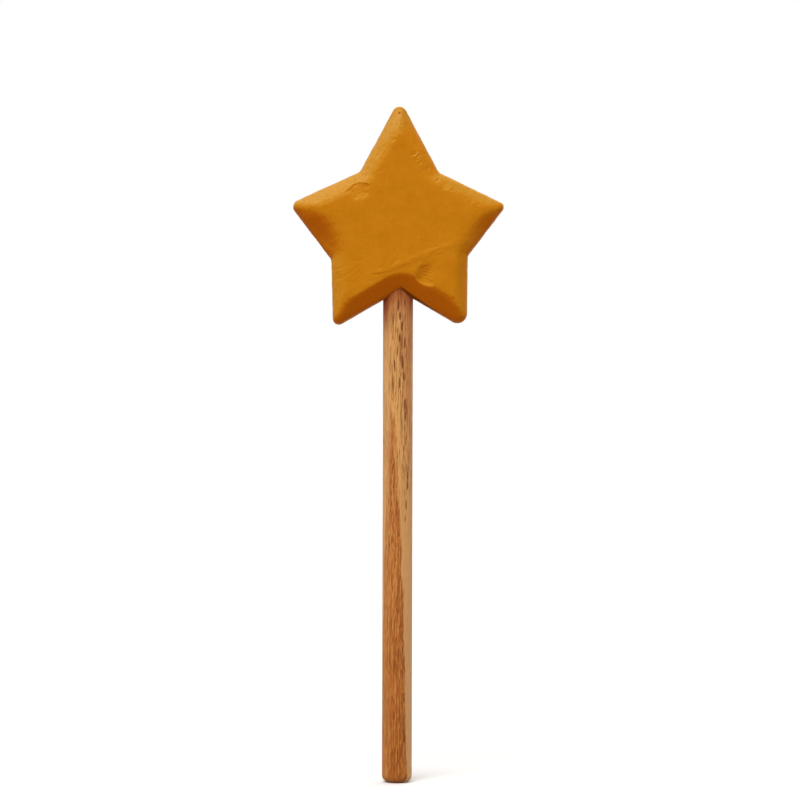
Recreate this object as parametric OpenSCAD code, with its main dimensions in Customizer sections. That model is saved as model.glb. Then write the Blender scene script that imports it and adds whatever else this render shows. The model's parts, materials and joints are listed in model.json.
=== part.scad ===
// Toy magic wand: a whittled wooden star, painted mustard, glued onto a round oak stick.
// The stick runs up +Z from the middle of its lower end, and the star's face looks along -Y.
// All lengths are in millimetres and all angles in degrees.

/* [Stick] */
// Diameter of the round stick
stick_d = 12; // [8:0.5:16]
// Length of the stick from its lower end to the notch of the star
stick_free_l = 196.8; // [120:0.2:300]
// Radius of the rounded edge at the lower end
end_round = 2.8; // [0.5:0.1:3.5]

/* [Glued joint] */
// Depth of the drilled socket from the notch to the start of the drill point
socket_depth = 26; // [15:0.5:32]
// Angle of the drill point at the top of the socket
drill_angle = 118; // [90:1:150]
// Thickness of the glue between the sanded end of the stick and the socket
glue_t = 0.25; // [0.1:0.05:0.6]
// Height of the glue above the sanded end
glue_cap_h = 1; // [0.4:0.1:3]
// Distance that the glue stays back from the notch
glue_setback = 1; // [0.5:0.1:4]
// Chamfer on the top edge of the sanded end
tenon_chamfer = 0.8; // [0.2:0.1:2]
// Length of the taper from the full stick down to the sanded end
taper_l = 1; // [0.5:0.1:3]
// Room beside the stick where the sanding stops, clear of the star
shoulder_clear = 1; // [0.8:0.1:2]

/* [Star body] */
// Thickness of the star from its face to its back
star_t = 22; // [18:0.5:30]
// Sideways distance from the stick's axis to the middle of the star
star_shift = 0.4; // [-2:0.1:2]
// Depth of the whittled bevel, from the face down to the rim
bevel_depth = 5; // [2:0.1:7]
// Width of the bevel on the top arm and the outer left edges
bevel_w = 5.8; // [3:0.1:7]
// Width of the broad bevel under the left arm
left_bevel_w = 7.4; // [3:0.1:8]
// Width of the bevel down the right side
right_bevel_w = 5; // [3:0.1:7]
// Width of the bevel on the left side of the bottom notch
bottom_left_bevel_w = 6.2; // [3:0.1:8]
// Width of the bevel on the right side of the bottom notch
bottom_right_bevel_w = 7.2; // [3:0.1:8]
// Radius that softens both edges of the bevel
bevel_soft = 4.5; // [1:0.25:6]
// Radius at the bottom of each notch
notch_round = 2.5; // [1:0.1:5]
// Radius left on the ridge where two bevels meet in a tip
ridge_round = 0.8; // [0.3:0.1:1.6]

/* [Star tips] */
// Reach of the top tip's corner from the middle of the star
top_tip_reach = 53.1; // [44:0.1:60]
// Reach of the right tip's corner
right_tip_reach = 44.2; // [40:0.1:52]
// Reach of the lower right tip's corner
lower_right_tip_reach = 47.8; // [42:0.1:56]
// Reach of the lower left tip's corner
lower_left_tip_reach = 47.1; // [42:0.1:56]
// Reach of the left tip's corner
left_tip_reach = 45.4; // [40:0.1:52]
// Angle by which both side arms are lower than an even star's
side_arm_droop = 4.1; // [-4:0.05:8]
// Angle by which the lower right arm is nearer the stick than an even star's
lower_right_arm_tuck = 1.3; // [-4:0.05:6]
// Angle by which the lower left arm is nearer the stick than an even star's
lower_left_arm_tuck = 1.8; // [-4:0.05:6]
// Rounding of the top tip
top_tip_round = 2.9; // [1:0.1:4.5]
// Rounding of the right tip
right_tip_round = 2; // [1:0.1:4.5]
// Rounding of the lower right tip
lower_right_tip_round = 3.8; // [1:0.1:5]
// Rounding of the lower left tip
lower_left_tip_round = 2.4; // [1:0.1:4.5]
// Rounding of the left tip
left_tip_round = 2.8; // [1:0.1:4.5]

/* [Star notches] */
// Reach of the upper right notch from the middle of the star
upper_right_notch_reach = 28.4; // [25:0.1:31]
// Reach of the right notch
right_notch_reach = 29.1; // [25:0.1:31]
// Reach of the bottom notch, where the stick goes in
bottom_notch_reach = 23.5; // [20:0.1:28]
// Reach of the left notch
left_notch_reach = 29.4; // [25:0.1:31]
// Reach of the upper left notch
upper_left_notch_reach = 28.6; // [25:0.1:31]
// Angle by which the upper right notch is nearer the top than an even star's
upper_right_notch_lift = 1.9; // [-3:0.05:5]
// Angle by which the upper left notch is nearer the top than an even star's
upper_left_notch_lift = 2.3; // [-3:0.05:5]
// Angle by which the right notch is lower than an even star's
right_notch_drop = 1.3; // [-3:0.05:6]
// Angle by which the left notch is lower than an even star's
left_notch_drop = 4.5; // [-3:0.05:6]

/* [Hidden] */
$fn = 96;

// Steps in each rounded corner of the star's outline, and in each soft edge of its bevel
corner_steps = 8;
soft_steps = 4;

// An even star has a corner every 36 degrees, tips and notches in turn
corner_count = 10;
corner_step = 360 / corner_count;
bottom_notch = 5;

// The star's corners, clockwise from the top tip as seen from the front
corner_reach = [
    top_tip_reach, upper_right_notch_reach,
    right_tip_reach, right_notch_reach,
    lower_right_tip_reach, bottom_notch_reach,
    lower_left_tip_reach, left_notch_reach,
    left_tip_reach, upper_left_notch_reach
];
corner_swing = [
    0, -upper_right_notch_lift,
    side_arm_droop, right_notch_drop,
    lower_right_arm_tuck, 0,
    -lower_left_arm_tuck, -left_notch_drop,
    -side_arm_droop, upper_left_notch_lift
];
tip_round = [
    top_tip_round, right_tip_round, lower_right_tip_round, lower_left_tip_round, left_tip_round
];

// The bevel along each edge, from one corner to the next
edge_bevel = [
    bevel_w, right_bevel_w, right_bevel_w, right_bevel_w, bottom_right_bevel_w,
    bottom_left_bevel_w, bevel_w, left_bevel_w, bevel_w, bevel_w
];

// The direction of a bearing, clockwise from straight up
function bearing(a) = [sin(a), cos(a)];

// The bearing from one point to another
function heading(from, to) = atan2(to.x - from.x, to.y - from.y);

// A turn brought into the half circle either side of straight on
function small_turn(a) = a - 360 * round(a / 360);

function corner(i) =
    let (k = (i + corner_count) % corner_count)
    corner_reach[k] * bearing(k * corner_step + corner_swing[k]);

function edge_heading(i) = heading(corner(i), corner(i + 1));

// The arc that rounds a corner between two headings
function rounded_corner(p, head_in, head_out, r, steps) =
    let (
        turn = small_turn(head_out - head_in),
        side = sign(turn) * r,
        start = p - r * tan(abs(turn) / 2) * bearing(head_in),
        middle = start + side * bearing(head_in + 90)
    )
    [for (k = [0:steps]) middle + side * bearing(head_in - 90 + turn * k / steps)];

// A corner of the outline after both its edges have moved in by their own distances
function inset_corner(i, in_before, in_after) =
    let (
        n_before = bearing(edge_heading(i - 1) + 90),
        n_after = bearing(edge_heading(i) + 90),
        c = n_before * n_after,
        move = n_before * (in_before - in_after * c) + n_after * (in_after - in_before * c)
    )
    corner(i) + move / (1 - c * c);

// Tips grow sharper as the outline moves in, and notches grow rounder
function corner_round(i, inset) =
    i % 2 == 0 ? max(tip_round[i / 2] - inset, ridge_round) : notch_round + inset;

// The rounded star outline, moved in by a share of each edge's bevel
function star_outline(share) = [
    for (i = [0:corner_count - 1])
        let (
            in_before = share * edge_bevel[(i + corner_count - 1) % corner_count],
            in_after = share * edge_bevel[i],
            r = corner_round(i, (in_before + in_after) / 2)
        )
        each rounded_corner(
            inset_corner(i, in_before, in_after), edge_heading(i - 1), edge_heading(i), r, corner_steps
        )
];

// Half the rim's section, from the middle of the rim to the flat face, as [distance in, height]
rim_h = star_t / 2 - bevel_depth;
bevel_heading = atan2(bevel_w, bevel_depth);
bevel_l = norm([bevel_w, bevel_depth]);
rim_soft = min(bevel_soft, rim_h / tan(bevel_heading / 2), bevel_l / 2 / tan(bevel_heading / 2));
face_soft = min(bevel_soft, bevel_l / 2 / tan((90 - bevel_heading) / 2));
half_section = concat(
    rounded_corner([0, rim_h], 0, bevel_heading, rim_soft, soft_steps),
    rounded_corner([bevel_w, star_t / 2], bevel_heading, 90, face_soft, soft_steps)
);
section = concat(
    [for (k = [len(half_section) - 1:-1:0]) half_section[k]],
    [for (s = half_section) [s.x, -s.y]]
);

// The stick's axis is the Z axis, and its length sets the height of the star
stick_r = stick_d / 2;
tenon_r = stick_r - glue_t;
star_z = stick_free_l + bottom_notch_reach;
socket_top_z = stick_free_l + socket_depth;
tenon_top_z = socket_top_z - glue_cap_h;
drill_point_h = stick_r / tan(drill_angle / 2);

// The sanding runs down the stick to below both flanks of the bottom notch
shoulder_reach = stick_r + shoulder_clear + abs(star_shift);
flank_slope = max([
    for (side = [-1, 1])
        let (flank = corner(bottom_notch + side) - corner(bottom_notch))
        abs(flank.y / flank.x)
]);
shoulder_z = stick_free_l - shoulder_reach * flank_slope;

// A solid skinned over the star's outline, ring by ring from the back to the face
module star_blank() {
    ring_size = corner_count * (corner_steps + 1);
    ring_count = len(section);
    rings = [
        for (s = section)
            for (p = star_outline(s.x / bevel_w))
                [p.x + star_shift, s.y, p.y + star_z]
    ];
    middles = [[star_shift, star_t / 2, star_z], [star_shift, -star_t / 2, star_z]];
    back_middle = len(rings);
    face_middle = back_middle + 1;
    last_ring = (ring_count - 1) * ring_size;
    sides = [
        for (k = [0:ring_count - 2])
            for (j = [0:ring_size - 1])
                let (
                    a = k * ring_size + j,
                    b = k * ring_size + (j + 1) % ring_size
                )
                each [[a, b, b + ring_size], [a, b + ring_size, a + ring_size]]
    ];
    caps = [
        for (j = [0:ring_size - 1])
            let (next = (j + 1) % ring_size)
            each [[next, j, back_middle], [last_ring + j, last_ring + next, face_middle]]
    ];
    polyhedron(concat(rings, middles), concat(sides, caps));
}

module socket() {
    translate([0, 0, shoulder_z])
        cylinder(h = socket_top_z - shoulder_z, r = stick_r);
    translate([0, 0, socket_top_z])
        cylinder(h = drill_point_h, r1 = stick_r, r2 = 0);
}

module star_head() {
    color([0.75, 0.47, 0.07])
        difference() {
            star_blank();
            socket();
        }
}

// The stick with its rounded lower edge and its sanded upper end
module stick() {
    color([0.71, 0.48, 0.26])
        rotate_extrude() {
            polygon([
                [0, 0],
                [stick_r - end_round, 0],
                [stick_r, end_round],
                [stick_r, shoulder_z - taper_l],
                [tenon_r, shoulder_z],
                [tenon_r, tenon_top_z - tenon_chamfer],
                [tenon_r - tenon_chamfer, tenon_top_z],
                [0, tenon_top_z]
            ]);
            translate([stick_r - end_round, end_round])
                circle(end_round);
        }
}

// The cured glue round the sanded end and above it
module glue_bond() {
    color([0.88, 0.82, 0.62])
        rotate_extrude()
            polygon([
                [tenon_r, stick_free_l + glue_setback],
                [stick_r, stick_free_l + glue_setback],
                [stick_r, socket_top_z],
                [0, socket_top_z],
                [0, tenon_top_z],
                [tenon_r - tenon_chamfer, tenon_top_z],
                [tenon_r, tenon_top_z - tenon_chamfer]
            ]);
}

star_head();
stick();
glue_bond();
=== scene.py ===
"""The looks of a toy magic wand: a whittled star, painted mustard, on a bare oak stick."""

import json
import math

import bmesh
import bpy
import numpy as np
from mathutils import Matrix, Vector, noise


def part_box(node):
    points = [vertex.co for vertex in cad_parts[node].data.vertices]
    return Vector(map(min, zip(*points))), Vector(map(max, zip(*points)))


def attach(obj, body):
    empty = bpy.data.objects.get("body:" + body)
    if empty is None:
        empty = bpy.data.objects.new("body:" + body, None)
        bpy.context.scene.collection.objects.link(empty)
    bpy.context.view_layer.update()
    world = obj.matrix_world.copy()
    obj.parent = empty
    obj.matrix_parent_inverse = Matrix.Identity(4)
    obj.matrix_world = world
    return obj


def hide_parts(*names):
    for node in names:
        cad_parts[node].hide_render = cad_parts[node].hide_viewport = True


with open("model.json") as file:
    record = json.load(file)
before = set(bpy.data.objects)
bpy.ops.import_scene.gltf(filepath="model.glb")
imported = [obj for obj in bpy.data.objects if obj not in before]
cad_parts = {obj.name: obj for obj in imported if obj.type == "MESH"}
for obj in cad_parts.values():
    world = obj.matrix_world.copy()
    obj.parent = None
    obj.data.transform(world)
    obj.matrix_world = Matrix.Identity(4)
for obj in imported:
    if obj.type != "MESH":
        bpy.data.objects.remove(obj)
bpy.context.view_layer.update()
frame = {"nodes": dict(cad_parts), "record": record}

SEED = 11
random = np.random.default_rng(SEED)

MM = 0.001
LEFT = (-1, 0, 0)
RIGHT = (1, 0, 0)

# From the frame: the stick's radius in metres, the star's middle and half thickness in millimetres
stick_low, stick_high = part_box("stick")
STICK_R = (stick_high.x - stick_low.x) / 2
back_face = next(mount for mount in frame["record"]["mounts"] if mount["name"] == "back_face")
STAR_X, HALF_T, STAR_Z = [value / MM for value in back_face["pos_m"]]

# The camera looks straight at the star's face, and its picture is a square
CAMERA_D = 1100 * MM
PICTURE_W = 320.6 * MM
PICTURE_X = 0.88 * MM
PICTURE_Z = 153 * MM
CAMERA_ROLL = math.radians(0.153)
SENSOR_W = 36

# Studio light: an even surround, a wide soft key from above and in front, and a fill from behind
SURROUND = 0.56
SURROUND_TINT = (1.02, 0.97, 0.92)
KEY_DIRECTION = (-0.226, -0.6, 0.77)
KEY_STRENGTH = 2.25
KEY_WIDTH = math.radians(44)
FILL_DIRECTION = (0.45, 0.7, 0.55)
FILL_STRENGTH = 1.2
FILL_WIDTH = math.radians(90)
FLOOR_SIZE = 60
FLOOR_SHOWN = 0.86
FLOOR_BOUNCE = 0.4
FLOOR_SHADER = {"Roughness": 1, "Specular IOR Level": 0}

# The star's mesh: its size of face before the front is cut finer, and how often it is smoothed
STAR_VOXEL = 0.6 * MM
FINE_DEPTH = 5.4 * MM
FAIRING_PASSES = 8
FAIRING_STEPS = (0.5, -0.52)
SOFT_PASSES = 170
BACK_PASSES = 60
SOFT_STEP = 0.5

# The factor that turns the step from a point to its neighbours' mean into a curvature
LAPLACE = 4

# The star's bevels in millimetres: the rim that ends them, the drop of the face, and the flatter right arm
RIM_DEPTH = 5.2
RIM_FADE = 1.2
FACE_DROP = 0.3
LEAST_DEPTH = 0.02
RIGHT_LIFT = 0.28
RIGHT_LIFT_X = (6, 24)
RIGHT_LIFT_Z = (-18, -8)

# Marks of the knife on the star's face, in millimetres from the star's middle
GOUGE = {
    "middle": (-16.1, 15.9), "half_l": 5.3, "half_up": 3, "half_down": 4.6, "angle": 14, "depth": 0.95,
    "bowl_up": 0.6, "bowl_down": 1.8,
}
SCALLOP = {
    "middle": (9.8, -19.3), "half_l": 4.7, "half_up": 7, "half_down": 5.4, "angle": -8, "depth": 1.1,
    "bowl_up": 2.4, "bowl_down": 1,
}
DENT = {
    "middle": (18.6, 17.8), "half_l": 2.4, "half_up": 2.2, "half_down": 2.2, "angle": 0, "depth": 0.3,
    "bowl_up": 1.6, "bowl_down": 1.6,
}
PIT = {"middle": (0, 46.7), "half_l": 0.7, "half_up": 0.7, "half_down": 0.7, "angle": 0, "depth": 0.5}

# How the rims of the scoops wave: the share of their size, the waves round the rim, and their turn
SCOOP_WAVES = [(0.05, 3, 0.6), (0.03, 7, 2)]

# The stretch across a scoop in which its lower half goes over into its upper half
SCOOP_BLEND = (-1, 1)

# A slice with a straight edge beside the scallop, the blade's ribs in it, and the long ridge above it
FACET_START = (6.2, -18.2)
FACET_END = (12.6, -10.8)
FACET_WALL = 4.6
FACET_LEAD = 0.3
FACET_W = 9
FACET_DEPTH = 0.56
FACET_BEGIN = (-3, 1)
FACET_FADE = (1, -4)
RIB_MIDDLE = (12.2, -17.4)
RIB_HALF_W = 2.9
RIB_HALF_H = 3.7
RIB_ANGLE = -22
RIB_STEP = 1.22
RIB_DEPTH = 0.07
RIB_BEND = 0.05
RIDGE_START = (-13, -18.2)
RIDGE_END = (24, -4.5)
RIDGE_W = 1.3
RIDGE_H = 0.27

# Rows of short strokes: how many, from where to where, and their spread, angle, length and depth
CHATTER = [
    {
        "count": 70, "start": (-8, -16.6), "end": (22, -5.2), "spread": 1,
        "angle": 22, "length": 4.4, "depth": 0.09,
    },
    {
        "count": 11, "start": (4.5, 32), "end": (15, 19), "spread": 0.5,
        "angle": 44, "length": 3.2, "depth": 0.42,
    },
    {
        "count": 40, "start": (-24, -20), "end": (-5, -15), "spread": 2.4,
        "angle": 17, "length": 6, "depth": 0.1,
    },
    {
        "count": 9, "start": (-1.5, 41), "end": (1.5, 42), "spread": 1,
        "angle": 84, "length": 4, "depth": 0.12,
    },
    {
        "count": 26, "start": (-21, 19), "end": (-9, 23), "spread": 1.3,
        "angle": 58, "length": 2.6, "depth": 0.15,
    },
    {
        "count": 20, "start": (-9, 24), "end": (-3, 38), "spread": 1.4,
        "angle": 30, "length": 2.6, "depth": 0.15,
    },
    {
        "count": 34, "start": (-19, 13.6), "end": (-13, 15), "spread": 0.9,
        "angle": 118, "length": 1.6, "depth": 0.11,
    },
    {
        "count": 7, "start": (9, -14.4), "end": (12.4, -11.6), "spread": 0.5,
        "angle": 44, "length": 3.6, "depth": 0.07,
    },
    {
        "count": 16, "start": (17, 15), "end": (32, 10), "spread": 1.8,
        "angle": 150, "length": 2.4, "depth": 0.14,
    },
]
BACK_CHATTER = {
    "count": 130, "start": (-20, -4), "end": (20, 4), "spread": 11,
    "angle": 68, "length": 9, "depth": 0.11,
}

# Each of these strokes: its swing in degrees, shares of length and depth, cut or ridge, and half width
STROKE_SWING = 7
STROKE_LENGTHS = (0.5, 1)
STROKE_DEPTHS = (0.3, 1)
STROKE_SIDES = [1, 1, -0.6]
STROKE_WIDTHS = (0.28, 0.55)

# The unevenness that a hand-held blade leaves, up to twice as deep on the bevels of the face's upper half
FACE_UNEVEN = {"size": 2.6, "depth": 0.055}
BACK_UNEVEN = {"size": 8, "depth": 0.16}
BEVEL_DEPTHS = (0.5, 2)
BEVEL_HEIGHTS = (4, 10)
WALL_UNEVEN_SIZE = 3.4
WALL_UNEVEN_DEPTH = 0.12
WALL_UNEVEN_MEAN = 0.5

# The fractal noise of all unevenness: how fast it fades, how much finer each layer is, and its layers
UNEVEN_FRACTAL = (1, 2, 3)

# Broad round cuts under the left arm and the right arm, which bulge in towards the star's middle
BROAD_CUTS = [
    {
        "start": (-39.5, 9.6), "end": (-26.7, -10.8), "middle": 0.68,
        "half_l": 15, "width": 10.2, "flat": 0.3, "slope": 0.98,
    },
    {
        "start": (27.5, -9.6), "end": (42.9, 10.6), "middle": 0.4,
        "half_l": 15, "width": 8.2, "flat": 0.45, "slope": 0.8,
    },
]

# The crisp edge round the bottom notch: two straight cuts, rounded where they meet
NOTCH_LEFT = {"height": -15.4, "slope": 0.61}
NOTCH_RIGHT = {"height": -14.4, "slope": -0.592}
NOTCH_BLEND = 7.5
NOTCH_CUT = 0.806
NOTCH_REACH = (24, 17)
NOTCH_ABOVE = (-6, -4)
NOTCH_BELOW = (2.4, 1.4)
NOTCH_DEEP = 1

# How the edge round the notch keeps crisp: where, by how much, and how it softens towards the right
CRISP_EDGE = (-7, -3)
CRISP_LEFT = (-26, -16)
CRISP_RIGHT = (30, 20)
CRISP_SOFTNESS = 0.22
SOFTER_RIGHT = (6, 16)
SOFTER_GAIN = 2

# Painted shade along the right side of the bottom notch, widest beside the stick
FLANK = {"height": -23.8, "slope": -0.5824}
NOTCH_SHADE_W = 2.1
NOTCH_SHADE_LOSS = 0.1
NOTCH_SHADE_EDGE = (0.3, -0.5)
NOTCH_SHADE_SHARE = 0.8
NOTCH_SHADE_START = (-0.5, 2)
NOTCH_SHADE_END = (20, 12)
NOTCH_SHADE_FRONT = (-1, -5)

# The mean of Blender's noise
NOISE_MEAN = 0.5

# The paint's tones, as a picture shows them, and its grain in millimetres. Some tones are painted light:
# the paler tones on surfaces that face up are a painted highlight, the redder orange on surfaces that face
# down and the near black beside the stick are painted shade, and the tones of ridges and hollows are partly
# painted highlight and shade.
PAINT = {
    "deep": (191, 117, 9), "bright": (198, 123, 15), "highlight_left": (197, 131, 28),
    "highlight_right": (188, 130, 33), "strong_highlight": (200, 143, 58), "fleck": (214, 160, 76), "dim": (182, 118, 24),
    "down_shade": (188, 95, 0), "speck": (174, 99, 0), "fibre": (208, 140, 32), "notch_shade": (84, 32, 2),
    "ridge": (222, 160, 60), "hollow": (164, 88, 0),
}
PAINT_GRAIN = {
    "cloud": {"across": 7, "along": 7, "detail": 5, "roughness": 0.6},
    "speck": {"across": 0.8, "along": 1.4, "detail": 3, "roughness": 0.6},
    "fibre": {"across": 0.5, "along": 9, "detail": 3, "roughness": 0.6},
    "mottle": {"across": 1.2, "along": 1.6, "detail": 4, "roughness": 0.65},
}

# How the paint changes with a noise, a direction or a curvature: between which values, and what shares
PAINT_FADES = {
    "cloud": (0.3, 0.7), "right": (-0.1, 0.2), "highlight": (0.12, 0.41), "strong_highlight": (0.41, 0.65),
    "bevel": (0.1, 0.35), "fleck": (0.5, 0.7, 0, 0.16), "dim": (0.5, 0.3, 0, 0.6), "down_shade": (0.1, 0.5),
    "speck": (0.5, 0.85, 0, 0.3), "fibre": (0.52, 0.8, 0, 0.2), "ridge": (0.5, 3, 0, 0.4),
    "hollow": (-0.5, -3, 0, 0.4), "roughness": (0.2, 0.8, 0.45, 0.6),
}
# The way that surfaces face where the paint carries a painted highlight, and the way where it carries
# painted shade
PAINT_UP = (-0.45, 0, 0.9)
PAINT_DOWN = (-0.1, 0, -1)
PAINT_RAGGED = 0.35
PAINT_RELIEF = 0.05 * MM
PAINT_RELIEF_SHARES = {"speck": 0.6, "fibre": 0.4}
PAINT_SHADER = {
    "Specular IOR Level": 0.04, "Sheen Weight": 0.16, "Sheen Roughness": 0.35,
    "Sheen Tint": (1, 0.72, 0.3, 1),
}
# The painted highlight grows towards the top tip between these heights, by up to this much
TIP_HIGHLIGHT = (254, 268)
TIP_HIGHLIGHT_GAIN = 0.3

# The growth rings of the oak: which way they face, how they lean, and where one comes to the surface
RING_TURN = math.radians(22)
RING_LEAN = 0.0233
RING_TOP = 131 * MM
RING_WAVE = 1.5
RING_FLAME = 0.7

# The oak's tones from ring to ring: millimetres inside the ring, then near the star and near the foot
RING_TONES = [
    (-14, (204, 148, 92), (196, 140, 88)),
    (-11.4, (208, 152, 94), (200, 146, 94)),
    (-11, (176, 104, 48), (162, 90, 38)),
    (-9.6, (190, 124, 66), (178, 112, 58)),
    (-8, (208, 154, 102), (194, 144, 98)),
    (-5.5, (204, 149, 96), (198, 148, 102)),
    (-4.2, (208, 153, 97), (201, 151, 104)),
    (-3.2, (214, 158, 97), (206, 157, 108)),
    (-0.4, (212, 154, 91), (204, 154, 104)),
    (0, (176, 102, 45), (150, 76, 26)),
    (0.7, (192, 118, 57), (172, 97, 38)),
    (4, (188, 114, 53), (164, 89, 33)),
]

# The oak's other tones and its grain in millimetres; pairs are near the foot and near the star. The pale
# tones of the left side are a painted highlight, and the dark red tones under the star's notch are painted
# shade.
OAK = {
    "dull": (160, 88, 36), "dark": [(126, 62, 20), (146, 82, 36)], "pale": [(202, 142, 72), (220, 166, 96)],
    "fibre": (220, 166, 98), "flank": [(206, 142, 76), (222, 174, 118)], "under_star_shadow": (150, 56, 4),
    "corner": (142, 50, 4), "redder": (186, 104, 54), "pore": (104, 48, 20),
}
OAK_GRAIN = {
    "band": {"across": 1.6, "along": 60, "detail": 2, "roughness": 0.5},
    "line": {"across": 0.42, "along": 14, "detail": 2, "roughness": 0.6},
    "dash": {"across": 0.34, "along": 3.5, "detail": 2, "roughness": 0.6},
    "fibre": {"across": 0.16, "along": 4, "detail": 2, "roughness": 0.6},
}
OAK_WAVE = {"across": 4, "along": 14, "detail": 2}
OAK_FLAME = {"across": 0.6, "along": 16, "detail": 3, "roughness": 0.6}
OAK_WARP_SCALE = 0.11
OAK_WARP_DETAIL = 2
OAK_WARP = (0.6, 0.6, 0)
OAK_RELIEF = 0.04 * MM
OAK_SHADER = {
    "Specular IOR Level": 0.1, "Sheen Weight": 0.12, "Sheen Roughness": 0.4,
    "Sheen Tint": (1, 0.85, 0.65, 1),
}

# How the oak changes with a ring, a noise, a direction or a pore: between which values, and what shares.
# The direction gives a painted highlight on the stick's left side.
OAK_FADES = {
    "front": (-0.6, 0.2, 0.25, 1), "back": (-7, -9, 0.25, 1), "dull": (0.45, 0.75, 0, 0.3),
    "dark": (0.52, 0.4, 0, 0.8), "pale": (0.5, 0.62, 0, 0.65), "fibre": (0.5, 0.75, 0, 0.2),
    "flank": (0.3, 0.75, 0, 0.32), "pore": (0.08, 0.8, 0, 0.85), "roughness": (0.2, 0.8, 0.5, 0.66),
}

# Heights and places across on the stick, in millimetres, between which the oak changes, and what shares
TONE_HEIGHTS = (10, 150)
STREAK_HEIGHTS = (60, 150)
STREAK_SHARES = (0.45, 0.55)
CLEAR_HEIGHTS = (100, 140)
# Painted shade under the star's notch: its lean with the notch's sides, its reach and share, then the same
# for its darker left corner
UNDER_STAR_SHADOW_LEAN = 0.59
UNDER_STAR_SHADOW_REACH = (186, 198)
UNDER_STAR_SHADOW_SHARE = 0.7
CORNER_SHADOW_REACH = (179, 193)
CORNER_SHADOW_SIDE = (-2.5, -5)
CORNER_SHADOW_SHARE = 0.7
REDDER_LEFT = (1.6, 2.8)
REDDER_RIGHT = (5.4, 4.6)
REDDER_HEIGHTS = (140, 158)
REDDER_SHARE = 0.3

# The glue's tones and the size of its clouds in millimetres
GLUE = {"pale": (232, 212, 150), "deep": (214, 188, 118)}
GLUE_CLOUD = 2
GLUE_ROUGHNESS = (0.3, 0.7, 0.3, 0.45)
GLUE_RELIEF = 0.05 * MM

# The stick's mesh and its pores
STICK_COLUMNS = 240
STICK_ROW = 0.6 * MM
STICK_FLAT_ROWS = 10
STICK_ROUND_STEP = 9
TENON_TAPER = 0.8 * MM
FLAT_GAP = 0.01 * MM
PORE_KINDS = [
    {
        "tries": 550, "ring": -2.5, "ring_w": 1.2, "fades": (100, 150), "left": 0.1,
        "length": (2.5, 5), "half_w": (0.2, 0.3), "strength": (0.55, 1),
    },
    {
        "tries": 3000, "ring": -2.4, "ring_w": 2, "fades": (100, 140), "left": 0.9,
        "length": (4, 14), "half_w": (0.16, 0.22), "strength": (0.15, 0.5),
    },
    {
        "tries": 2600, "ring": 0.4, "ring_w": 0.5, "fades": (150, 130), "left": 0.5,
        "length": (1.5, 4), "half_w": (0.2, 0.3), "strength": (0.25, 0.7),
    },
    {
        "tries": 3000, "ring": 2.4, "ring_w": 1.6, "fades": (150, 130), "left": 1,
        "length": (2.5, 9), "half_w": (0.15, 0.2), "strength": (0.1, 0.5),
    },
]

# The largest pores, from the star down: place across and height, length, half a width and strength
LARGE_PORES = [
    (2.8, 192, 3.4, 0.3, 0.9),
    (0.3, 191, 4.6, 0.34, 1),
    (0.8, 186.6, 3.8, 0.42, 1),
    (-3.9, 183, 5, 0.24, 0.6),
    (1.6, 182.4, 4.2, 0.4, 1),
    (0.6, 177.6, 3.4, 0.36, 1),
    (2.8, 175.8, 5, 0.4, 1),
    (-0.2, 172.6, 4.4, 0.24, 0.7),
    (-2.9, 169, 6, 0.24, 0.6),
    (1.9, 168, 6.4, 0.36, 1),
    (0.8, 159.8, 5, 0.36, 1),
    (-1.9, 159.4, 5, 0.24, 0.6),
    (2.9, 151, 5.4, 0.44, 1),
    (3, 146.6, 4.8, 0.42, 1),
    (4.1, 122.8, 4, 0.42, 1),
    (4, 119, 4.2, 0.4, 1),
    (3.5, 111.2, 4.6, 0.34, 0.9),
    (3.1, 105.6, 3.6, 0.3, 0.7),
]
PORE_DEPTH = 0.1 * MM
PORE_START = 2.8 * MM
PORE_FULL = 7 * MM


def srgb(red, green, blue):
    """A linear colour from 8-bit values as a picture shows them."""
    shares = [value / 255 for value in (red, green, blue)]
    return [s / 12.92 if s < 0.04045 else ((s + 0.055) / 1.055) ** 2.4 for s in shares] + [1]


def smooth_step(low, high, value):
    """Goes softly from 0 to 1 between two values."""
    share = np.clip((value - low) / (high - low), 0, 1)
    return share * share * (3 - 2 * share)


# Nodes

def node(tree, kind, inputs=None, **settings):
    """A new node, with each input set to a value or linked to another node's output."""
    made = tree.nodes.new(kind)
    for name, value in settings.items():
        setattr(made, name, value)
    for key, value in (inputs or {}).items():
        if isinstance(value, bpy.types.NodeSocket):
            tree.links.new(value, made.inputs[key])
        else:
            made.inputs[key].default_value = value
    return made


def sums(tree, operation, *values):
    return node(tree, "ShaderNodeMath", dict(enumerate(values)), operation=operation).outputs[0]


def mapped(tree, value, low, high, to_low=0.0, to_high=1.0):
    inputs = {"Value": value, "From Min": low, "From Max": high, "To Min": to_low, "To Max": to_high}
    return node(tree, "ShaderNodeMapRange", inputs, interpolation_type="SMOOTHSTEP").outputs[0]


def mixed(tree, share, first, second):
    """One colour mixed into another."""
    slots = {0: share, 6: first, 7: second}
    return node(tree, "ShaderNodeMix", slots, data_type="RGBA").outputs[2]


def tinted(tree, colour, share, tone):
    """A share of an 8-bit tone mixed into a colour."""
    return mixed(tree, share, colour, srgb(*tone))


def two_tones(tree, value, stretch, low_tone, high_tone):
    """One 8-bit tone below a stretch of values, and another above it."""
    return mixed(tree, mapped(tree, value, *stretch), srgb(*low_tone), srgb(*high_tone))


def ramp(tree, value, stops):
    made = node(tree, "ShaderNodeValToRGB", {"Fac": value})
    elements = made.color_ramp.elements
    while len(elements) < len(stops):
        elements.new(1)
    for element, (place, colour) in zip(elements, stops):
        element.position = place
        element.color = colour
    return made.outputs["Color"]


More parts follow.
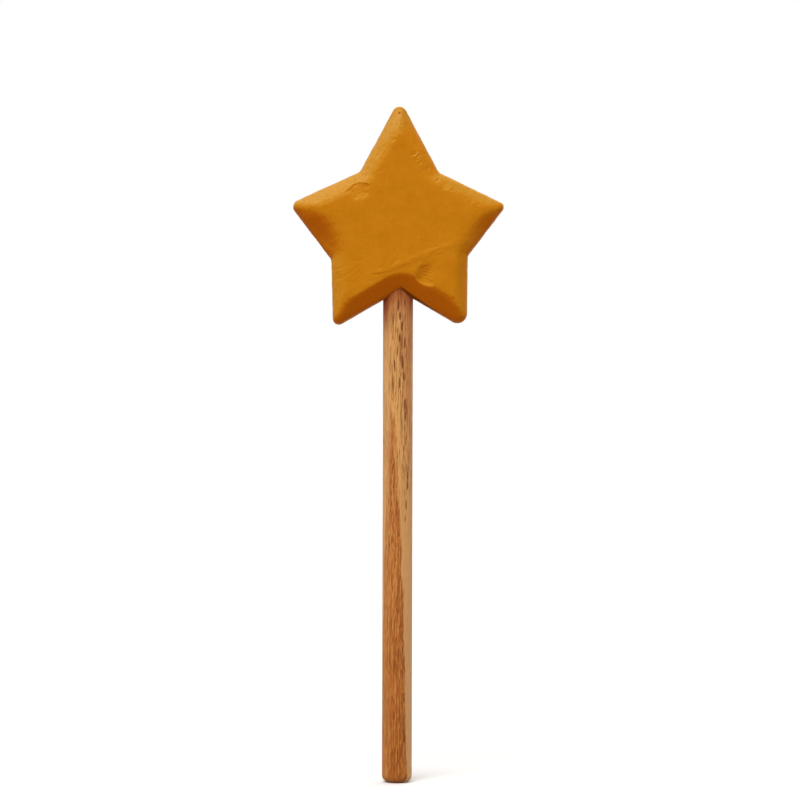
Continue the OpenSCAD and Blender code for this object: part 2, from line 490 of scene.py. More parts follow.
def grain_noise(tree, places, across, along, detail=3.0, roughness=0.5):
    """Noise in millimetres that is drawn out along the grain."""
    scale = (1 / across, 1 / across, 1 / along)
    drawn = node(tree, "ShaderNodeVectorMath", {0: places, 1: scale}, operation="MULTIPLY").outputs[0]
    inputs = {"Vector": drawn, "Scale": 1.0, "Detail": detail, "Roughness": roughness}
    return node(tree, "ShaderNodeTexNoise", inputs).outputs["Fac"]


def new_material(name):
    """A material with a bare principled shader, and its places in millimetres."""
    material = bpy.data.materials.new(name)
    material.use_nodes = True
    tree = material.node_tree
    tree.nodes.clear()
    shader = node(tree, "ShaderNodeBsdfPrincipled")
    node(tree, "ShaderNodeOutputMaterial", {"Surface": shader.outputs[0]})
    metres = node(tree, "ShaderNodeTexCoord").outputs["Object"]
    scale = (1 / MM,) * 3
    places = node(tree, "ShaderNodeVectorMath", {0: metres, 1: scale}, operation="MULTIPLY").outputs[0]
    return material, tree, shader, places


def set_inputs(shader, values):
    for name, value in values.items():
        shader.inputs[name].default_value = value


def attribute(tree, name):
    return node(tree, "ShaderNodeAttribute", attribute_name=name).outputs["Fac"]


def bump(tree, shader, height, depth):
    """Fine relief of a depth in metres."""
    made = node(tree, "ShaderNodeBump", {"Height": height, "Distance": depth, "Strength": 1.0})
    tree.links.new(made.outputs[0], shader.inputs["Normal"])


def facing(tree, direction):
    """How far the surface faces a direction, from -1 to 1."""
    normal = node(tree, "ShaderNodeTexCoord").outputs["Normal"]
    way = Vector(direction).normalized()
    return node(tree, "ShaderNodeVectorMath", {0: normal, 1: way}, operation="DOT_PRODUCT").outputs["Value"]


def notch_shade(tree, places):
    """Where painted shade darkens the paint beside the stick, on the right side of the bottom notch."""
    axes = node(tree, "ShaderNodeSeparateXYZ", {0: places}).outputs
    x = sums(tree, "SUBTRACT", axes["X"], STAR_X)
    line = sums(tree, "ADD", sums(tree, "MULTIPLY", x, FLANK["slope"]), STAR_Z + FLANK["height"])
    inside = sums(tree, "DIVIDE", sums(tree, "SUBTRACT", axes["Z"], line), math.hypot(1, FLANK["slope"]))
    width = sums(tree, "SUBTRACT", NOTCH_SHADE_W, sums(tree, "MULTIPLY", x, NOTCH_SHADE_LOSS))
    past = sums(tree, "SUBTRACT", inside, width)
    share = mapped(tree, past, *NOTCH_SHADE_EDGE, 0, NOTCH_SHADE_SHARE)
    share = sums(tree, "MULTIPLY", share, mapped(tree, x, *NOTCH_SHADE_START))
    share = sums(tree, "MULTIPLY", share, mapped(tree, x, *NOTCH_SHADE_END))
    return sums(tree, "MULTIPLY", share, mapped(tree, axes["Y"], *NOTCH_SHADE_FRONT))


def highlighted_paint(tree, places, mottle, ragged):
    """Bright paint with a painted highlight where it faces up, paler where it faces left than right and
    growing towards the top tip, mottled there with lighter flecks and darker spots.
    """
    cloud = grain_noise(tree, places, **PAINT_GRAIN["cloud"])
    colour = two_tones(tree, cloud, PAINT_FADES["cloud"], PAINT["deep"], PAINT["bright"])
    height = node(tree, "ShaderNodeSeparateXYZ", {0: places}).outputs["Z"]
    upward = sums(tree, "ADD", facing(tree, PAINT_UP), ragged)
    upward = sums(tree, "ADD", upward, mapped(tree, height, *TIP_HIGHLIGHT, 0, TIP_HIGHLIGHT_GAIN))
    rightward = facing(tree, RIGHT)
    highlight_tones = two_tones(tree, rightward, PAINT_FADES["right"], PAINT["highlight_left"], PAINT["highlight_right"])
    # A painted highlight where the surface faces up, paler where it faces left than where it faces right
    colour = mixed(tree, mapped(tree, upward, *PAINT_FADES["highlight"]), colour, highlight_tones)
    colour = tinted(tree, colour, mapped(tree, upward, *PAINT_FADES["strong_highlight"]), PAINT["strong_highlight"])
    bevel = mapped(tree, upward, *PAINT_FADES["bevel"])
    fleck = sums(tree, "MULTIPLY", mapped(tree, mottle, *PAINT_FADES["fleck"]), bevel)
    colour = tinted(tree, colour, fleck, PAINT["fleck"])
    dim = sums(tree, "MULTIPLY", mapped(tree, mottle, *PAINT_FADES["dim"]), bevel)
    return tinted(tree, colour, dim, PAINT["dim"])


def star_paint():
    """Matte mustard paint, with a painted highlight where it faces up and painted shade, deeper and redder,
    where it faces down.
    """
    material, tree, shader, places = new_material("mustard_paint")
    speck = grain_noise(tree, places, **PAINT_GRAIN["speck"])
    fibre = grain_noise(tree, places, **PAINT_GRAIN["fibre"])
    mottle = grain_noise(tree, places, **PAINT_GRAIN["mottle"])
    ragged = sums(tree, "MULTIPLY", sums(tree, "SUBTRACT", speck, NOISE_MEAN), PAINT_RAGGED)
    colour = highlighted_paint(tree, places, mottle, ragged)
    # Painted shade: a deeper, redder orange where the surface faces down
    downward = sums(tree, "ADD", facing(tree, PAINT_DOWN), ragged)
    colour = tinted(tree, colour, mapped(tree, downward, *PAINT_FADES["down_shade"]), PAINT["down_shade"])
    colour = tinted(tree, colour, mapped(tree, speck, *PAINT_FADES["speck"]), PAINT["speck"])
    colour = tinted(tree, colour, mapped(tree, fibre, *PAINT_FADES["fibre"]), PAINT["fibre"])
    # Painted shade beside the stick, on the right side of the bottom notch
    colour = tinted(tree, colour, notch_shade(tree, places), PAINT["notch_shade"])
    # Lighter on ridges and darker in hollows: partly paint worn off ridges and pooled in hollows, and
    # partly painted highlight and shade that bring out the knife marks
    proud = attribute(tree, "proud")
    colour = tinted(tree, colour, mapped(tree, proud, *PAINT_FADES["ridge"]), PAINT["ridge"])
    colour = tinted(tree, colour, mapped(tree, proud, *PAINT_FADES["hollow"]), PAINT["hollow"])
    tree.links.new(colour, shader.inputs["Base Color"])
    tree.links.new(mapped(tree, speck, *PAINT_FADES["roughness"]), shader.inputs["Roughness"])
    set_inputs(shader, PAINT_SHADER)
    specks = sums(tree, "MULTIPLY", speck, PAINT_RELIEF_SHARES["speck"])
    fibres = sums(tree, "MULTIPLY", fibre, PAINT_RELIEF_SHARES["fibre"])
    bump(tree, shader, sums(tree, "ADD", specks, fibres), PAINT_RELIEF)
    return material


def warped(tree, places):
    """Places that wander a little, so that the grain isn't ruler straight."""
    inputs = {"Vector": places, "Scale": OAK_WARP_SCALE, "Detail": OAK_WARP_DETAIL}
    warp = node(tree, "ShaderNodeTexNoise", inputs).outputs["Color"]
    mean = (NOISE_MEAN,) * 3
    warp = node(tree, "ShaderNodeVectorMath", {0: warp, 1: mean}, operation="SUBTRACT").outputs[0]
    warp = node(tree, "ShaderNodeVectorMath", {0: warp, 1: OAK_WARP}, operation="MULTIPLY").outputs[0]
    return node(tree, "ShaderNodeVectorMath", {0: places, 1: warp}, operation="ADD").outputs[0]


def ring_places(tree, places):
    """Millimetres inside the growth ring that comes to the surface on the front, wavy as grown."""
    way = (-math.sin(RING_TURN), -math.cos(RING_TURN), -RING_LEAN)
    flat = node(tree, "ShaderNodeVectorMath", {0: places, 1: way}, operation="DOT_PRODUCT").outputs["Value"]
    rings = sums(tree, "ADD", flat, (RING_LEAN * RING_TOP - STICK_R) / MM)
    wave = sums(tree, "SUBTRACT", grain_noise(tree, places, **OAK_WAVE), NOISE_MEAN)
    flame = sums(tree, "SUBTRACT", grain_noise(tree, places, **OAK_FLAME), NOISE_MEAN)
    rings = sums(tree, "ADD", rings, sums(tree, "MULTIPLY", wave, RING_WAVE))
    return sums(tree, "ADD", rings, sums(tree, "MULTIPLY", flame, RING_FLAME))


def ring_colour(tree, rings, height):
    """The tone of each growth ring."""
    low, high = RING_TONES[0][0], RING_TONES[-1][0]
    share = sums(tree, "DIVIDE", sums(tree, "SUBTRACT", rings, low), high - low)
    spots = [(place - low) / (high - low) for place, _, _ in RING_TONES]
    upper = ramp(tree, share, [(spot, srgb(*tone)) for spot, (_, tone, _) in zip(spots, RING_TONES)])
    lower = ramp(tree, share, [(spot, srgb(*tone)) for spot, (_, _, tone) in zip(spots, RING_TONES)])
    return mixed(tree, mapped(tree, height, *TONE_HEIGHTS), lower, upper)


def streaked(tree, colour, rings, height, grain):
    """Dark and pale streaks along the grain, clearest in the darker rings and near the star."""
    in_front = mapped(tree, rings, *OAK_FADES["front"])
    at_back = mapped(tree, rings, *OAK_FADES["back"])
    clear = sums(tree, "MAXIMUM", in_front, at_back)
    clear = mixed(tree, mapped(tree, height, *CLEAR_HEIGHTS), clear, (1, 1, 1, 1))
    dull = sums(tree, "MULTIPLY", mapped(tree, grain["band"], *OAK_FADES["dull"]), clear)
    colour = tinted(tree, colour, dull, OAK["dull"])
    drawn_out = mapped(tree, height, *STREAK_HEIGHTS, *STREAK_SHARES)
    streak = mixed(tree, drawn_out, grain["dash"], grain["line"])
    dark = sums(tree, "MULTIPLY", mapped(tree, streak, *OAK_FADES["dark"]), clear)
    colour = mixed(tree, dark, colour, two_tones(tree, height, TONE_HEIGHTS, *OAK["dark"]))
    pale = sums(tree, "MULTIPLY", mapped(tree, streak, *OAK_FADES["pale"]), clear)
    colour = mixed(tree, pale, colour, two_tones(tree, height, TONE_HEIGHTS, *OAK["pale"]))
    return tinted(tree, colour, mapped(tree, grain["fibre"], *OAK_FADES["fibre"]), OAK["fibre"])


def painted_light_and_redder(tree, colour, side, height):
    """A painted highlight on the stick's left side, painted shade under the star's notch that is darkest in
    the left corner, and redder wood on the right near the star.
    """
    # A painted highlight: paler wood where the stick faces left
    flank = mapped(tree, facing(tree, LEFT), *OAK_FADES["flank"])
    colour = mixed(tree, flank, colour, two_tones(tree, height, STREAK_HEIGHTS, *OAK["flank"]))
    # Painted shade under the star's notch, darkest in its left corner
    lean = sums(tree, "MULTIPLY", sums(tree, "ABSOLUTE", side), UNDER_STAR_SHADOW_LEAN)
    reach = sums(tree, "ADD", height, lean)
    colour = tinted(tree, colour, mapped(tree, reach, *UNDER_STAR_SHADOW_REACH, 0, UNDER_STAR_SHADOW_SHARE), OAK["under_star_shadow"])
    on_left = mapped(tree, side, *CORNER_SHADOW_SIDE, 0, CORNER_SHADOW_SHARE)
    corner = sums(tree, "MULTIPLY", mapped(tree, reach, *CORNER_SHADOW_REACH), on_left)
    colour = tinted(tree, colour, corner, OAK["corner"])
    on_right = mapped(tree, side, *REDDER_LEFT, 0, REDDER_SHARE)
    redder = sums(tree, "MULTIPLY", on_right, mapped(tree, side, *REDDER_RIGHT))
    redder = sums(tree, "MULTIPLY", redder, mapped(tree, height, *REDDER_HEIGHTS))
    return tinted(tree, colour, redder, OAK["redder"])


def oak():
    """Bare sanded oak: growth rings cut at a slant, fine fibre and open pores."""
    material, tree, shader, places = new_material("bare_oak")
    places = warped(tree, places)
    rings = ring_places(tree, places)
    axes = node(tree, "ShaderNodeSeparateXYZ", {0: places}).outputs
    grain = {name: grain_noise(tree, places, **kind) for name, kind in OAK_GRAIN.items()}
    colour = ring_colour(tree, rings, axes["Z"])
    colour = streaked(tree, colour, rings, axes["Z"], grain)
    colour = painted_light_and_redder(tree, colour, axes["X"], axes["Z"])
    pore = attribute(tree, "pore")
    colour = tinted(tree, colour, mapped(tree, pore, *OAK_FADES["pore"]), OAK["pore"])
    tree.links.new(colour, shader.inputs["Base Color"])
    tree.links.new(mapped(tree, grain["fibre"], *OAK_FADES["roughness"]), shader.inputs["Roughness"])
    set_inputs(shader, OAK_SHADER)
    bump(tree, shader, grain["fibre"], OAK_RELIEF)
    return material


def glue():
    """Cured wood glue, cloudy and a little glossy."""
    material, tree, shader, places = new_material("cured_glue")
    cloud = grain_noise(tree, places, GLUE_CLOUD, GLUE_CLOUD)
    colour = mixed(tree, cloud, srgb(*GLUE["pale"]), srgb(*GLUE["deep"]))
    tree.links.new(colour, shader.inputs["Base Color"])
    tree.links.new(mapped(tree, cloud, *GLUE_ROUGHNESS), shader.inputs["Roughness"])
    bump(tree, shader, cloud, GLUE_RELIEF)
    return material


# Meshes

def add_object(name, mesh, material):
    made = bpy.data.objects.new(name, mesh)
    bpy.context.scene.collection.objects.link(made)
    mesh.materials.clear()
    mesh.materials.append(material)
    mesh.shade_smooth()
    return made


def mesh_points(mesh):
    points = np.empty(len(mesh.vertices) * 3, np.float32)
    mesh.vertices.foreach_get("co", points)
    return points.reshape(-1, 3).astype(float)


def set_points(mesh, points):
    mesh.vertices.foreach_set("co", points.astype(np.float32).ravel())
    mesh.update()


def set_attribute(mesh, name, values):
    layer = mesh.attributes.new(name, "FLOAT", "POINT")
    layer.data.foreach_set("value", np.asarray(values, np.float32))


def as_piece(piece, node_name):
    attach(piece, "root")
    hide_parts(node_name)


def remeshed(node_name, voxel):
    """A copy of a node's mesh, in even small faces."""
    copy = bpy.data.objects.new("copy", frame["nodes"][node_name].data.copy())
    bpy.context.scene.collection.objects.link(copy)
    remesh = copy.modifiers.new("remesh", "REMESH")
    remesh.mode = "VOXEL"
    remesh.voxel_size = voxel
    graph = bpy.context.evaluated_depsgraph_get()
    mesh = bpy.data.meshes.new_from_object(copy.evaluated_get(graph))
    bpy.data.objects.remove(copy)
    return mesh


class Neighbours:
    """The mean over each point's neighbours along the edges of a mesh."""

    def __init__(self, mesh):
        edges = np.empty(len(mesh.edges) * 2, np.int32)
        mesh.edges.foreach_get("vertices", edges)
        self.first, self.second = edges.reshape(-1, 2).T
        self.size = len(mesh.vertices)
        self.count = self.total(np.ones(self.size))

    def total(self, values):
        forward = np.bincount(self.first, values[self.second], self.size)
        return forward + np.bincount(self.second, values[self.first], self.size)

    def mean(self, values):
        return self.total(values) / self.count

    def proud(self, depth, points):
        """The curvature at each point: above 0 on a ridge, and below 0 in a hollow."""
        length = ((points[self.first] - points[self.second]) ** 2).sum(axis=1)
        spread = np.bincount(self.first, length, self.size) + np.bincount(self.second, length, self.size)
        return LAPLACE * (self.mean(depth) - depth) * self.count / spread


# The star

def along_stroke(x, z, middle, angle):
    """Places along and across a stroke of the knife."""
    turn = math.radians(angle)
    side, up = x - middle[0], z - middle[1]
    return side * math.cos(turn) + up * math.sin(turn), up * math.cos(turn) - side * math.sin(turn)


def scoop(x, z, middle, half_l, half_up, half_down, angle, depth, bowl_up=1.0, bowl_down=1.0):
    """A hollow in the face. Where its bowl is under 1 its rim is crisp, and over 1 it fades out."""
    along, across = along_stroke(x, z, middle, angle)
    way = np.arctan2(across, along)
    uneven = 1 + sum(share * np.sin(count * way + turn) for share, count, turn in SCOOP_WAVES)
    along, across = along * uneven, across * uneven
    up = smooth_step(*SCOOP_BLEND, across)
    half_w = half_down + up * (half_up - half_down)
    bowl = bowl_down + up * (bowl_up - bowl_down)
    return depth * np.clip(1 - (along / half_l) ** 2 - (across / half_w) ** 2, 0, None) ** bowl


def stroke(x, z, start, end, width, depth):
    """A thin cut from one place to another, deepest in its middle. A negative depth is a ridge."""
    length = math.dist(start, end)
    middle = [(a + b) / 2 for a, b in zip(start, end)]
    angle = math.degrees(math.atan2(end[1] - start[1], end[0] - start[0]))
    along, across = along_stroke(x, z, middle, angle)
    taper = np.clip(1 - (2 * along / length) ** 2, 0, None)
    return depth * np.sqrt(taper) * np.exp(-((across / width) ** 2))


def scratches(x, z, count, start, end, spread, angle, length, depth):
    """Short strokes strewn along a line, all at about one angle, some cut and some standing up."""
    total = np.zeros_like(x)
    for _ in range(count):
        share = random.uniform()
        middle = [a + share * (b - a) + random.normal(0, spread) for a, b in zip(start, end)]
        turn = math.radians(angle + random.normal(0, STROKE_SWING))
        half = random.uniform(*STROKE_LENGTHS) * length / 2
        reach = half * math.cos(turn), half * math.sin(turn)
        ends = [[m + side * r for m, r in zip(middle, reach)] for side in (-1, 1)]
        strength = depth * random.uniform(*STROKE_DEPTHS) * random.choice(STROKE_SIDES)
        total += stroke(x, z, *ends, random.uniform(*STROKE_WIDTHS), strength)
    return total


def facet(x, z):
    """A slice with one soft straight edge, and the chatter of a blade that jumped."""
    length = math.dist(FACET_START, FACET_END)
    angle = math.degrees(math.atan2(FACET_END[1] - FACET_START[1], FACET_END[0] - FACET_START[0]))
    along, across = along_stroke(x, z, FACET_START, angle)
    wall = np.clip(FACET_LEAD - across / FACET_WALL, 0, 1)
    wall = wall * (2 - wall) * smooth_step(-FACET_W, -FACET_WALL / 2, across)
    window = smooth_step(*FACET_BEGIN, along) * smooth_step(*FACET_FADE, along - length)
    along, across = along_stroke(x, z, RIB_MIDDLE, RIB_ANGLE)
    bent = across + RIB_BEND * along * along
    ribs = np.exp(-((along / RIB_HALF_W) ** 2) - (across / RIB_HALF_H) ** 2)
    return FACET_DEPTH * wall * window + RIB_DEPTH * ribs * np.sin(2 * math.pi * bent / RIB_STEP)


def unevenness(places, size, depth):
    """The gentle unevenness that a hand-held blade leaves, in places given in millimetres."""
    rough = [noise.fractal(place, *UNEVEN_FRACTAL) for place in (places / size).tolist()]
    return depth * np.array(rough)


def flat_unevenness(x, z, size, depth):
    return unevenness(np.stack([x, np.zeros_like(x), z], axis=1), size, depth)


def knife_marks(x, z):
    """The depth of the marks on the star's face."""
    depth = scoop(x, z, **GOUGE) + scoop(x, z, **DENT) + scoop(x, z, **PIT) + facet(x, z)
    depth += stroke(x, z, RIDGE_START, RIDGE_END, RIDGE_W, -RIDGE_H)
    for chatter in CHATTER:
        depth += scratches(x, z, **chatter)
    return depth


def notch_edge(x, z):
    """How far a place lies below the crisp edge round the bottom notch."""
    sides = []
    for side in (NOTCH_LEFT, NOTCH_RIGHT):
        drop = side["height"] + side["slope"] * x - z
        sides.append(drop / math.hypot(1, side["slope"]))
    share = np.clip(NOTCH_BLEND - abs(sides[0] - sides[1]), 0, None) / NOTCH_BLEND
    return np.minimum(*sides) - share * share * NOTCH_BLEND / 4


def crisp_notch(x, z, depth):
    """Cuts the bevel round the bottom notch with a straight blade, up to a crisp edge."""
    edge = notch_edge(x, z)
    cut = NOTCH_CUT * np.clip(edge, 0, None)
    there = smooth_step(*NOTCH_REACH, abs(x))
    near_edge = smooth_step(*NOTCH_ABOVE, edge) * smooth_step(*NOTCH_BELOW, edge)
    depth = depth + there * near_edge * (cut - depth)
    below = there * (edge > NOTCH_DEEP)
    return depth + below * np.clip(cut - depth, 0, None)


def notch_softness(x, z):
    """The share of the softening that each place takes: little along the edge round the bottom notch."""
    near_edge = smooth_step(*CRISP_EDGE, notch_edge(x, z))
    by_notch = near_edge * smooth_step(*CRISP_LEFT, x) * smooth_step(*CRISP_RIGHT, x)
    softness = CRISP_SOFTNESS * (1 + SOFTER_GAIN * smooth_step(*SOFTER_RIGHT, x))
    return 1 - by_notch * (1 - softness)


def broad_cut(x, z, start, end, middle, half_l, width, flat, slope):
    """The depth of a broad cut along an edge of the star: flat beside the edge, and then rounding off."""
    way = np.subtract(end, start)
    angle = math.degrees(math.atan2(way[1], way[0]))
    along, across = along_stroke(x, z, np.add(start, way * middle), angle)
    bulge = width * np.sqrt(np.clip(1 - (along / half_l) ** 2, 0, None))
    inside = np.clip(bulge - np.clip(across, 0, None), 0, None)
    rounding = width * (1 - flat)
    return slope * np.where(inside < rounding, inside ** 2 / (2 * rounding), inside - rounding / 2)


def deepen(depth, cut):
    """Takes the bevel down to a cut, and the wall below the bevel along with it."""
    wall = depth + np.clip(cut - RIM_DEPTH, 0, None) * (HALF_T - depth) / (HALF_T - RIM_DEPTH)
    return np.where(depth < RIM_DEPTH, np.maximum(depth, cut), wall)


def lift_right(x, z, depth):
    """Makes the bevels of the right arm shallower, and the wall below them less so towards its middle."""
    share = RIGHT_LIFT * smooth_step(*RIGHT_LIFT_X, x) * smooth_step(*RIGHT_LIFT_Z, z)
    return depth - share * np.minimum(depth, RIM_DEPTH * (HALF_T - depth) / (HALF_T - RIM_DEPTH))


def lowered(depth):
    """Takes a face in a little, and all below it in proportion, so that ridges can stand up from it."""
    return FACE_DROP + depth * (1 - FACE_DROP / HALF_T)


def soften(depth, weight, near, passes):
    """Takes each depth part of the way to the mean of its neighbours, many times over."""
    for _ in range(passes):
        depth = depth + SOFT_STEP * weight * (near.mean(depth) - depth)
    return depth


def fair(mesh, fixed_r):
    """Takes the facets off with passes forward and back, which keep the size."""
    points = mesh_points(mesh)
    near = Neighbours(mesh)
    free = np.hypot(points[:, 0], points[:, 1]) > fixed_r
    for share in FAIRING_STEPS * FAIRING_PASSES:
        for axis in range(3):
            step = near.mean(points[:, axis]) - points[:, axis]
            points[free, axis] += share * step[free]
    set_points(mesh, points)


def refine(mesh, highest_y):
    """Cuts each face in front of a plane into four."""
    made = bmesh.new()
    made.from_mesh(mesh)
    faces = [face for face in made.faces if face.calc_center_median().y < highest_y]
    edges = dict.fromkeys(edge for face in faces for edge in face.edges)
    bmesh.ops.subdivide_edges(made, edges=list(edges), cuts=1, use_grid_fill=True)
    made.to_mesh(mesh)
    made.free()


def whittle_walls(mesh, points, share):
    """Takes a little off the star's sides, here more and there less."""
    normals = np.empty(points.size, np.float32)
    mesh.vertices.foreach_get("normal", normals)
    rough = np.clip(WALL_UNEVEN_MEAN + unevenness(points / MM, WALL_UNEVEN_SIZE, 1), 0, 1)
    cut = share * rough * WALL_UNEVEN_DEPTH * MM
    set_points(mesh, points - normals.reshape(-1, 3) * cut[:, None])


def carved_face(x, z, depth, front, near):
    """The carved depth below the face, and how far each point belongs to the face and its bevels."""
    depth = np.where(front, crisp_notch(x, z, depth), depth)
    depth = np.where(front, lift_right(x, z, depth), depth)
    for cut in BROAD_CUTS:
        depth = np.where(front, deepen(depth, broad_cut(x, z, **cut)), depth)
    depth = soften(depth, front * notch_softness(x, z), near, SOFT_PASSES)
    on_face = front * smooth_step(RIM_DEPTH, RIM_DEPTH - RIM_FADE, depth)
    depth = np.maximum(depth, on_face * scoop(x, z, **SCALLOP))
    on_bevel = smooth_step(*BEVEL_DEPTHS, depth) * smooth_step(*BEVEL_HEIGHTS, z)
    rough = (1 + on_bevel) * flat_unevenness(x, z, **FACE_UNEVEN)
    return lowered(depth) + on_face * (knife_marks(x, z) + rough), on_face


def carved_back(x, z, depth, back, near):
    """The carved depth below the back, and how far each point belongs to the back and its bevels."""
    depth = soften(depth, back, near, BACK_PASSES)
    on_back = back * smooth_step(RIM_DEPTH, RIM_DEPTH - RIM_FADE, depth)
    marks = scratches(x, z, **BACK_CHATTER) + flat_unevenness(x, z, **BACK_UNEVEN)
    return lowered(depth) + on_back * marks, on_back


def star():
    mesh = remeshed("star_head", STAR_VOXEL)
    lowest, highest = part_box("star_head")
    inside_r = STICK_R + STAR_VOXEL
    fair(mesh, inside_r)
    refine(mesh, lowest.y + FINE_DEPTH)

    # The face and the back are carved by depth alone, so that the outline stays
    points = mesh_points(mesh)
    near = Neighbours(mesh)
    free = np.hypot(points[:, 0], points[:, 1]) > inside_r
    front = free & (points[:, 1] < 0)
    back = free & (points[:, 1] > 0)
    x = points[:, 0] / MM - STAR_X
    z = points[:, 2] / MM - STAR_Z
    depth, on_face = carved_face(x, z, (points[:, 1] - lowest.y) / MM, front, near)
    points[front, 1] = lowest.y + np.clip(depth[front], LEAST_DEPTH, None) * MM
    height, on_back = carved_back(x, z, (highest.y - points[:, 1]) / MM, back, near)
    points[back, 1] = highest.y - np.clip(height[back], LEAST_DEPTH, None) * MM
    set_points(mesh, points)

    whittle_walls(mesh, points, free * (1 - on_face - on_back))
    # The curvature, which the paint turns into lighter ridges and darker hollows, partly painted highlight
    # and shade
    proud = on_face * near.proud(depth, points / MM) + on_back * near.proud(height, points / MM)
    set_attribute(mesh, "proud", proud)
    piece = add_object("whittled_star", mesh, star_paint())
    as_piece(piece, "star_head")


# The stick

def ring_at(angle, height):
    """Millimetres inside the growth ring on the front, at a place on the stick's side."""
    outward = STICK_R * np.cos(angle + RING_TURN)
    return (outward - STICK_R + RING_LEAN * (RING_TOP - height)) / MM


def pore_chance(angle, height, ring, ring_w, fades, left):
    """Each kind of pore keeps to a part of a growth ring, and fades in between two heights."""
    crowd = math.exp(-(((ring_at(angle, height) - ring) / ring_w) ** 2))
    side = 1 if angle > -RING_TURN else left
    return crowd * side * smooth_step(fades[0] * MM, fades[1] * MM, height)


def sink_pore(pores, angles, heights, angle, height, half_l, width, depth):
    """Sinks one pore, drawn out along the grain, into the stick's side."""
    rows = np.abs(heights - height) < half_l
    along = (heights[rows] - height) / half_l
    turn = (angles - angle + math.pi) % (2 * math.pi) - math.pi
    across = turn * STICK_R / width
    shape = np.sqrt(1 - along ** 2)[:, None] * np.exp(-(across ** 2))[None, :]
    pores[rows] = np.maximum(pores[rows], depth * shape)


def scatter_pores(pores, angles, heights, tries, length, half_w, strength, **where):
    """Strews pores of one kind over the stick's side."""
    for _ in range(tries):
        angle = random.uniform(-math.pi, math.pi)
        height = random.uniform(heights[0], heights[-1])
        half_l = random.uniform(*length) * MM / 2
        width = random.uniform(*half_w) * MM
        depth = random.uniform(*strength)
        if random.uniform() < pore_chance(angle, height, **where):
            sink_pore(pores, angles, heights, angle, height, half_l, width, depth)


def stick_profile():
    """Rows of (radius, height) up the stick, and which of them make its plain side."""
    points = mesh_points(frame["nodes"]["stick"].data)
    radius = np.hypot(points[:, 0], points[:, 1])
    top = points[:, 2].max()
    wall_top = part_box("glue_bond")[0].z - TENON_TAPER
    tenon_r = radius[points[:, 2] > wall_top + TENON_TAPER].max()
    tenon_flat_r = radius[points[:, 2] > top - FLAT_GAP].max()
    tenon_chamfer = tenon_r - tenon_flat_r
    flat_r = radius[points[:, 2] < FLAT_GAP].max()
    round_r = STICK_R - flat_r
    rows = [(flat_r * (row + 1) / STICK_FLAT_ROWS, 0) for row in range(STICK_FLAT_ROWS)]
    for turn in np.radians(np.arange(STICK_ROUND_STEP, 90, STICK_ROUND_STEP)):
        rows.append((flat_r + round_r * math.sin(turn), round_r * (1 - math.cos(turn))))
    heights = np.arange(round_r, wall_top, STICK_ROW)
    wall = slice(len(rows), len(rows) + len(heights))
    rows += [(STICK_R, height) for height in heights]
    rows += [(STICK_R, wall_top), (tenon_r, wall_top + TENON_TAPER)]
    rows += [(tenon_r, top - tenon_chamfer), (tenon_flat_r, top)]
    return np.array(rows), wall


def stick_pores(angles, heights):
    """How deep each place on the stick's side lies in a pore, from 0 to 1."""
    pores = np.zeros((len(heights), len(angles)))
    for kind in PORE_KINDS:
        scatter_pores(pores, angles, heights, **kind)
    for across, up, length, half_w, strength in LARGE_PORES:
        angle = math.asin(across * MM / STICK_R)
        sink_pore(pores, angles, heights, angle, up * MM, length * MM / 2, half_w * MM, strength)
    return pores * smooth_step(PORE_START, PORE_FULL, heights)[:, None]


def stick_faces(rows, base, top):
    """The faces round the stick, and the fans that close its ends."""
    last = (rows - 1) * STICK_COLUMNS
    faces = []
    for column in range(STICK_COLUMNS):
        beside = (column + 1) % STICK_COLUMNS
        faces.append((base, beside, column))
        faces.append((top, last + column, last + beside))
        for row in range(rows - 1):
            low, high = row * STICK_COLUMNS, (row + 1) * STICK_COLUMNS
            faces.append((low + column, low + beside, high + beside, high + column))
    return faces


def stick():
    profile, wall = stick_profile()
    angles = np.arange(STICK_COLUMNS) * 2 * math.pi / STICK_COLUMNS
    pores = np.zeros((len(profile), STICK_COLUMNS))
    pores[wall] = stick_pores(angles, profile[wall, 1])
    radius = profile[:, :1] - PORE_DEPTH * pores
    height = np.repeat(profile[:, 1:], STICK_COLUMNS, axis=1)
    points = np.stack([radius * np.sin(angles), -radius * np.cos(angles), height], axis=-1).reshape(-1, 3)
    base, top = len(points), len(points) + 1
    points = np.vstack([points, [[0, 0, 0], [0, 0, profile[-1, 1]]]])
    mesh = bpy.data.meshes.new("oak_stick")
    mesh.from_pydata(points.tolist(), [], stick_faces(len(profile), base, top))
    mesh.update()
    set_attribute(mesh, "pore", np.append(pores.ravel(), [0, 0]))
    piece = add_object("oak_stick", mesh, oak())
    as_piece(piece, "stick")


# The studio

def to_eye(tree):
    """1 for rays that the camera sees, straight or in a reflection, and 0 for light on the object."""
    path = node(tree, "ShaderNodeLightPath").outputs
    shown = sums(tree, "MAXIMUM", path["Is Camera Ray"], path["Is Glossy Ray"])
    return sums(tree, "MAXIMUM", shown, path["Is Transmission Ray"])


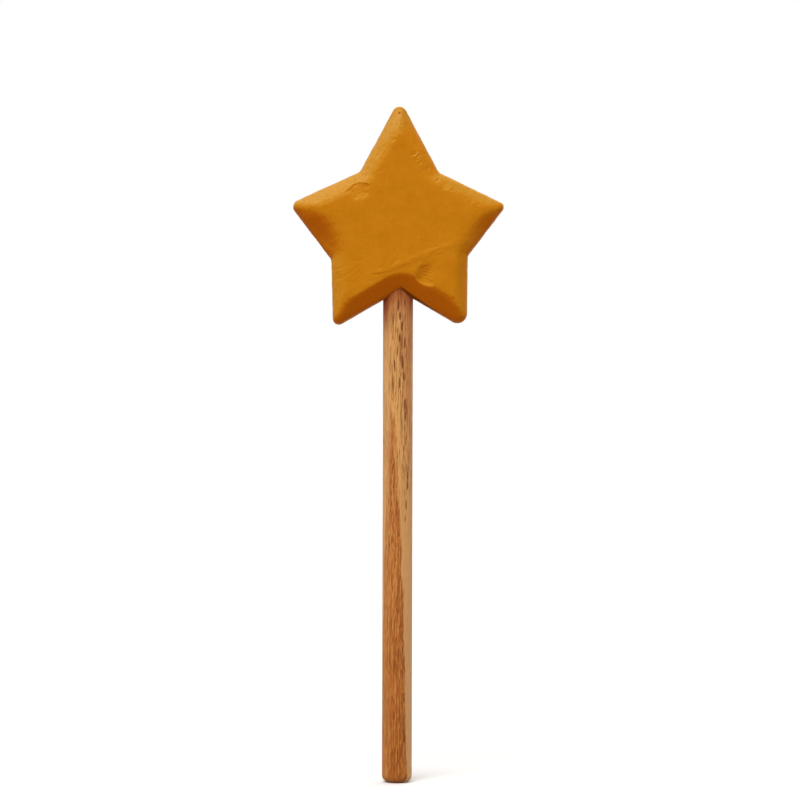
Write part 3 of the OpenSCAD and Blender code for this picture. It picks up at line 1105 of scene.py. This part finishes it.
def surround():
    world = bpy.data.worlds.new("studio")
    world.use_nodes = True
    tree = world.node_tree
    tree.nodes.clear()
    light = node(tree, "ShaderNodeBackground", {"Color": (*SURROUND_TINT, 1), "Strength": SURROUND})
    shown = node(tree, "ShaderNodeBackground", {"Color": (1, 1, 1, 1), "Strength": 1.0})
    inputs = {0: to_eye(tree), 1: light.outputs[0], 2: shown.outputs[0]}
    both = node(tree, "ShaderNodeMixShader", inputs)
    node(tree, "ShaderNodeOutputWorld", {"Surface": both.outputs[0]})
    bpy.context.scene.world = world


def floor():
    half = FLOOR_SIZE / 2
    mesh = bpy.data.meshes.new("floor")
    corners = [(-half, -half, 0), (half, -half, 0), (half, half, 0), (-half, half, 0)]
    mesh.from_pydata(corners, [], [(0, 1, 2, 3)])
    material, tree, shader, _ = new_material("pale_floor")
    tones = [(tone, tone, tone, 1) for tone in (FLOOR_BOUNCE, FLOOR_SHOWN)]
    tree.links.new(mixed(tree, to_eye(tree), *tones), shader.inputs["Base Color"])
    set_inputs(shader, FLOOR_SHADER)
    add_object("floor", mesh, material)


def sun(name, direction, strength, width):
    lamp = bpy.data.lights.new(name, "SUN")
    lamp.energy = strength
    lamp.angle = width
    made = bpy.data.objects.new(name, lamp)
    made.rotation_mode = "QUATERNION"
    made.rotation_quaternion = Vector(direction).to_track_quat("Z", "Y")
    bpy.context.scene.collection.objects.link(made)


def camera():
    lens = bpy.data.cameras.new("camera")
    lens.sensor_width = SENSOR_W
    lens.lens = SENSOR_W * CAMERA_D / PICTURE_W
    made = bpy.data.objects.new("camera", lens)
    upright = Matrix.Rotation(math.pi / 2, 4, "X") @ Matrix.Rotation(CAMERA_ROLL, 4, "Z")
    made.matrix_world = Matrix.Translation((PICTURE_X, -CAMERA_D, PICTURE_Z)) @ upright
    bpy.context.scene.collection.objects.link(made)
    bpy.context.scene.camera = made


star()
stick()
frame["nodes"]["glue_bond"].data.materials.clear()
frame["nodes"]["glue_bond"].data.materials.append(glue())
surround()
floor()
sun("key", KEY_DIRECTION, KEY_STRENGTH, KEY_WIDTH)
sun("fill", FILL_DIRECTION, FILL_STRENGTH, FILL_WIDTH)
camera()
bpy.context.scene.view_settings.view_transform = "Standard"
